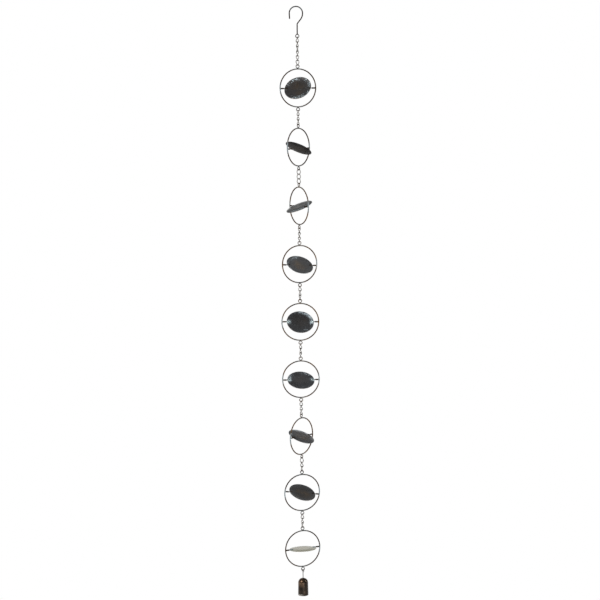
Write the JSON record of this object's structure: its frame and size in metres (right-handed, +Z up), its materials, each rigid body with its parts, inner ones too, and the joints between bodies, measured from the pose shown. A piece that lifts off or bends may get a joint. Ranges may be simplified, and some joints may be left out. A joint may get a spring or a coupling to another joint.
{
  "type": "rain chain",
  "caption": "Hanging rain chain: a wire hook, round wire hoops joined by short runs of twisted chain, a tilting hammered dish in each hoop and a small bell at the foot.",
  "frame": {"origin": "the point inside the hook's bend, straight above the chain, where the hook bears on its support", "axes": "+Z up along the chain, +X to the right as seen from the front, +Y away from the viewer"},
  "size_m": [0.1168, 0.1026, 1.8219],
  "materials": {
    "dark_wire": "satin",
    "chain_steel": "satin",
    "dark_sheet": "satin",
    "bell_bronze": "satin"
  },
  "bodies": {
    "hook": {"hook": "dark_wire"},
    "chain_link_01": {"chain_link_01": "chain_steel"},
    "chain_link_02": {"chain_link_02": "chain_steel"},
    "chain_link_03": {"chain_link_03": "chain_steel"},
    "chain_link_04": {"chain_link_04": "chain_steel"},
    "chain_link_05": {"chain_link_05": "chain_steel"},
    "chain_link_06": {"chain_link_06": "chain_steel"},
    "hoop_1": {"hoop_1": "dark_wire"},
    "dish_1": {"dish_1": "dark_sheet"},
    "chain_link_07": {"chain_link_07": "chain_steel"},
    "chain_link_08": {"chain_link_08": "chain_steel"},
    "chain_link_09": {"chain_link_09": "chain_steel"},
    "hoop_2": {"hoop_2": "dark_wire"},
    "dish_2": {"dish_2": "dark_sheet"},
    "chain_link_10": {"chain_link_10": "chain_steel"},
    "chain_link_11": {"chain_link_11": "chain_steel"},
    "chain_link_12": {"chain_link_12": "chain_steel"},
    "hoop_3": {"hoop_3": "dark_wire"},
    "dish_3": {"dish_3": "dark_sheet"},
    "chain_link_13": {"chain_link_13": "chain_steel"},
    "chain_link_14": {"chain_link_14": "chain_steel"},
    "chain_link_15": {"chain_link_15": "chain_steel"},
    "hoop_4": {"hoop_4": "dark_wire"},
    "dish_4": {"dish_4": "dark_sheet"},
    "chain_link_16": {"chain_link_16": "chain_steel"},
    "chain_link_17": {"chain_link_17": "chain_steel"},
    "chain_link_18": {"chain_link_18": "chain_steel"},
    "hoop_5": {"hoop_5": "dark_wire"},
    "dish_5": {"dish_5": "dark_sheet"},
    "chain_link_19": {"chain_link_19": "chain_steel"},
    "chain_link_20": {"chain_link_20": "chain_steel"},
    "chain_link_21": {"chain_link_21": "chain_steel"},
    "hoop_6": {"hoop_6": "dark_wire"},
    "dish_6": {"dish_6": "dark_sheet"},
    "chain_link_22": {"chain_link_22": "chain_steel"},
    "chain_link_23": {"chain_link_23": "chain_steel"},
    "chain_link_24": {"chain_link_24": "chain_steel"},
    "hoop_7": {"hoop_7": "dark_wire"},
    "dish_7": {"dish_7": "dark_sheet"},
    "chain_link_25": {"chain_link_25": "chain_steel"},
    "chain_link_26": {"chain_link_26": "chain_steel"},
    "chain_link_27": {"chain_link_27": "chain_steel"},
    "hoop_8": {"hoop_8": "dark_wire"},
    "dish_8": {"dish_8": "dark_sheet"},
    "chain_link_28": {"chain_link_28": "chain_steel"},
    "chain_link_29": {"chain_link_29": "chain_steel"},
    "chain_link_30": {"chain_link_30": "chain_steel"},
    "hoop_9": {"hoop_9": "dark_wire"},
    "dish_9": {"dish_9": "dark_sheet"},
    "bell": {"bell_hanger": "chain_steel", "bell": "bell_bronze"},
    "clapper": {"clapper": "chain_steel"}
  },
  "joints": [
    {"name": "chain_link_01_swing", "type": "hinge", "parent": "hook", "child": "chain_link_01", "pos_m": [0, 0, -0.0912], "axis": [1, 0, 0], "range_deg": [-70, 70]},
    {"name": "chain_link_02_swing", "type": "hinge", "parent": "chain_link_01", "child": "chain_link_02", "pos_m": [0, 0, -0.10495], "axis": [-0.9634, 0.2682, 0], "range_deg": [-70, 70]},
    {"name": "chain_link_03_swing", "type": "hinge", "parent": "chain_link_02", "child": "chain_link_03", "pos_m": [0, 0, -0.1164], "axis": [0.7274, 0.6862, 0], "range_deg": [-70, 70]},
    {"name": "chain_link_04_swing", "type": "hinge", "parent": "chain_link_03", "child": "chain_link_04", "pos_m": [0, 0, -0.13025], "axis": [-0.8848, -0.4659, 0], "range_deg": [-70, 70]},
    {"name": "chain_link_05_swing", "type": "hinge", "parent": "chain_link_04", "child": "chain_link_05", "pos_m": [0, 0, -0.1465], "axis": [0.4659, -0.8848, 0], "range_deg": [-70, 70]},
    {"name": "chain_link_06_swing", "type": "hinge", "parent": "chain_link_05", "child": "chain_link_06", "pos_m": [0, 0, -0.16035], "axis": [-0.2116, 0.9774, 0], "range_deg": [-70, 70]},
    {"name": "hoop_1_swing", "type": "hinge", "parent": "chain_link_06", "child": "hoop_1", "pos_m": [0, 0, -0.1717], "axis": [0.9461, -0.3239, 0], "range_deg": [-70, 70]},
    {"name": "dish_1_turn", "type": "hinge", "parent": "hoop_1", "child": "dish_1", "pos_m": [0, 0, -0.2425], "axis": [0.9461, -0.3239, -0.0035], "continuous": true},
    {"name": "chain_link_07_swing", "type": "hinge", "parent": "hoop_1", "child": "chain_link_07", "pos_m": [0, 0, -0.3113], "axis": [0.9461, -0.3239, 0], "range_deg": [-70, 70]},
    {"name": "chain_link_08_swing", "type": "hinge", "parent": "chain_link_07", "child": "chain_link_08", "pos_m": [0, 0, -0.32505], "axis": [-0.9193, 0.3935, 0], "range_deg": [-70, 70]},
    {"name": "chain_link_09_swing", "type": "hinge", "parent": "chain_link_08", "child": "chain_link_09", "pos_m": [0, 0, -0.3365], "axis": [0.5258, 0.8506, 0], "range_deg": [-70, 70]},
    {"name": "hoop_2_swing", "type": "hinge", "parent": "chain_link_09", "child": "hoop_2", "pos_m": [0, 0, -0.35025], "axis": [-0.5878, -0.809, 0], "range_deg": [-70, 70]},
    {"name": "dish_2_turn", "type": "hinge", "parent": "hoop_2", "child": "dish_2", "pos_m": [0, 0, -0.42445], "axis": [0.5877, 0.8089, 0.0175], "continuous": true},
    {"name": "chain_link_10_swing", "type": "hinge", "parent": "hoop_2", "child": "chain_link_10", "pos_m": [0, 0, -0.48985], "axis": [0.5878, 0.809, 0], "range_deg": [-70, 70]},
    {"name": "chain_link_11_swing", "type": "hinge", "parent": "chain_link_10", "child": "chain_link_11", "pos_m": [0, 0, -0.5036], "axis": [-0.6698, -0.7426, 0], "range_deg": [-70, 70]},
    {"name": "chain_link_12_swing", "type": "hinge", "parent": "chain_link_11", "child": "chain_link_12", "pos_m": [0, 0, -0.51505], "axis": [-0.5857, 0.8106, 0], "range_deg": [-70, 70]},
    {"name": "hoop_3_swing", "type": "hinge", "parent": "chain_link_12", "child": "hoop_3", "pos_m": [0, 0, -0.5288], "axis": [0.497, -0.8678, 0], "range_deg": [-70, 70]},
    {"name": "dish_3_turn", "type": "hinge", "parent": "hoop_3", "child": "dish_3", "pos_m": [0, 0, -0.6], "axis": [0.497, -0.8678, 0], "continuous": true},
    {"name": "chain_link_13_swing", "type": "hinge", "parent": "hoop_3", "child": "chain_link_13", "pos_m": [0, 0, -0.6684], "axis": [0.497, -0.8678, 0], "range_deg": [-70, 70]},
    {"name": "chain_link_14_swing", "type": "hinge", "parent": "chain_link_13", "child": "chain_link_14", "pos_m": [0, 0, -0.68215], "axis": [-0.4699, 0.8827, 0], "range_deg": [-70, 70]},
    {"name": "chain_link_15_swing", "type": "hinge", "parent": "chain_link_14", "child": "chain_link_15", "pos_m": [0, 0, -0.6936], "axis": [0.9101, 0.4143, 0], "range_deg": [-70, 70]},
    {"name": "hoop_4_swing", "type": "hinge", "parent": "chain_link_15", "child": "hoop_4", "pos_m": [0, 0, -0.70735], "axis": [-0.9225, -0.3859, 0], "range_deg": [-70, 70]},
    {"name": "dish_4_turn", "type": "hinge", "parent": "hoop_4", "child": "dish_4", "pos_m": [0, 0, -0.78035], "axis": [0.9209, 0.3852, -0.0593], "continuous": true},
    {"name": "chain_link_16_swing", "type": "hinge", "parent": "hoop_4", "child": "chain_link_16", "pos_m": [0, 0, -0.84695], "axis": [0.9225, 0.3859, 0], "range_deg": [-70, 70]},
    {"name": "chain_link_17_swing", "type": "hinge", "parent": "chain_link_16", "child": "chain_link_17", "pos_m": [0, 0, -0.8607], "axis": [-0.9979, 0.065, 0], "range_deg": [-70, 70]},
    {"name": "chain_link_18_swing", "type": "hinge", "parent": "chain_link_17", "child": "chain_link_18", "pos_m": [0, 0, -0.87215], "axis": [0.8346, 0.5508, 0], "range_deg": [-70, 70]},
    {"name": "hoop_5_swing", "type": "hinge", "parent": "chain_link_18", "child": "hoop_5", "pos_m": [0, 0, -0.8859], "axis": [-0.9925, -0.1219, 0], "range_deg": [-70, 70]},
    {"name": "dish_5_turn", "type": "hinge", "parent": "hoop_5", "child": "dish_5", "pos_m": [0, 0, -0.9553], "axis": [0.9922, 0.1218, -0.0244], "continuous": true},
    {"name": "chain_link_19_swing", "type": "hinge", "parent": "hoop_5", "child": "chain_link_19", "pos_m": [0, 0, -1.0255], "axis": [0.9925, 0.1219, 0], "range_deg": [-70, 70]},
    {"name": "chain_link_20_swing", "type": "hinge", "parent": "chain_link_19", "child": "chain_link_20", "pos_m": [0, 0, -1.03925], "axis": [-0.9642, 0.2651, 0], "range_deg": [-70, 70]},
    {"name": "chain_link_21_swing", "type": "hinge", "parent": "chain_link_20", "child": "chain_link_21", "pos_m": [0, 0, -1.0507], "axis": [0.8671, 0.4981, 0], "range_deg": [-70, 70]},
    {"name": "hoop_6_swing", "type": "hinge", "parent": "chain_link_21", "child": "hoop_6", "pos_m": [0, 0, -1.06445], "axis": [-0.9914, -0.1305, 0], "range_deg": [-70, 70]},
    {"name": "dish_6_turn", "type": "hinge", "parent": "hoop_6", "child": "dish_6", "pos_m": [0, 0, -1.13605], "axis": [0.9913, 0.1305, -0.014], "continuous": true},
    {"name": "chain_link_22_swing", "type": "hinge", "parent": "hoop_6", "child": "chain_link_22", "pos_m": [0, 0, -1.20405], "axis": [0.9914, 0.1305, 0], "range_deg": [-70, 70]},
    {"name": "chain_link_23_swing", "type": "hinge", "parent": "chain_link_22", "child": "chain_link_23", "pos_m": [0, 0, -1.2178], "axis": [-0.9979, 0.0645, 0], "range_deg": [-70, 70]},
    {"name": "chain_link_24_swing", "type": "hinge", "parent": "chain_link_23", "child": "chain_link_24", "pos_m": [0, 0, -1.22925], "axis": [0.4399, 0.898, 0], "range_deg": [-70, 70]},
    {"name": "hoop_7_swing", "type": "hinge", "parent": "chain_link_24", "child": "hoop_7", "pos_m": [0, 0, -1.243], "axis": [-0.606, -0.7955, 0], "range_deg": [-70, 70]},
    {"name": "dish_7_turn", "type": "hinge", "parent": "hoop_7", "child": "dish_7", "pos_m": [0, 0, -1.313], "axis": [0.6054, 0.7947, -0.0436], "continuous": true},
    {"name": "chain_link_25_swing", "type": "hinge", "parent": "hoop_7", "child": "chain_link_25", "pos_m": [0, 0, -1.3826], "axis": [0.606, 0.7955, 0], "range_deg": [-70, 70]},
    {"name": "chain_link_26_swing", "type": "hinge", "parent": "chain_link_25", "child": "chain_link_26", "pos_m": [0, 0, -1.39635], "axis": [-0.9291, -0.3697, 0], "range_deg": [-70, 70]},
    {"name": "chain_link_27_swing", "type": "hinge", "parent": "chain_link_26", "child": "chain_link_27", "pos_m": [0, 0, -1.4078], "axis": [0.6468, 0.7627, 0], "range_deg": [-70, 70]},
    {"name": "hoop_8_swing", "type": "hinge", "parent": "chain_link_27", "child": "hoop_8", "pos_m": [0, 0, -1.42155], "axis": [-0.9472, -0.3206, 0], "range_deg": [-70, 70]},
    {"name": "dish_8_turn", "type": "hinge", "parent": "hoop_8", "child": "dish_8", "pos_m": [0, 0, -1.49235], "axis": [0.9358, 0.3168, -0.1547], "continuous": true},
    {"name": "chain_link_28_swing", "type": "hinge", "parent": "hoop_8", "child": "chain_link_28", "pos_m": [0, 0, -1.56115], "axis": [0.9472, 0.3206, 0], "range_deg": [-70, 70]},
    {"name": "chain_link_29_swing", "type": "hinge", "parent": "chain_link_28", "child": "chain_link_29", "pos_m": [0, 0, -1.5749], "axis": [-0.9983, 0.0589, 0], "range_deg": [-70, 70]},
    {"name": "chain_link_30_swing", "type": "hinge", "parent": "chain_link_29", "child": "chain_link_30", "pos_m": [0, 0, -1.58635], "axis": [0.7376, 0.6753, 0], "range_deg": [-70, 70]},
    {"name": "hoop_9_swing", "type": "hinge", "parent": "chain_link_30", "child": "hoop_9", "pos_m": [0, 0, -1.6001], "axis": [-0.9373, -0.3486, 0], "range_deg": [-70, 70]},
    {"name": "dish_9_turn", "type": "hinge", "parent": "hoop_9", "child": "dish_9", "pos_m": [0, 0, -1.6697], "axis": [0.9372, 0.3485, 0.014], "continuous": true},
    {"name": "bell_swing", "type": "hinge", "parent": "hoop_9", "child": "bell", "pos_m": [0, 0, -1.7397], "axis": [0.9373, 0.3486, 0], "range_deg": [-60, 60]},
    {"name": "clapper_swing", "type": "hinge", "parent": "bell", "child": "clapper", "pos_m": [0, 0, -1.7761], "axis": [0.6428, -0.766, 0], "range_deg": [-16, 16]}
  ]
}
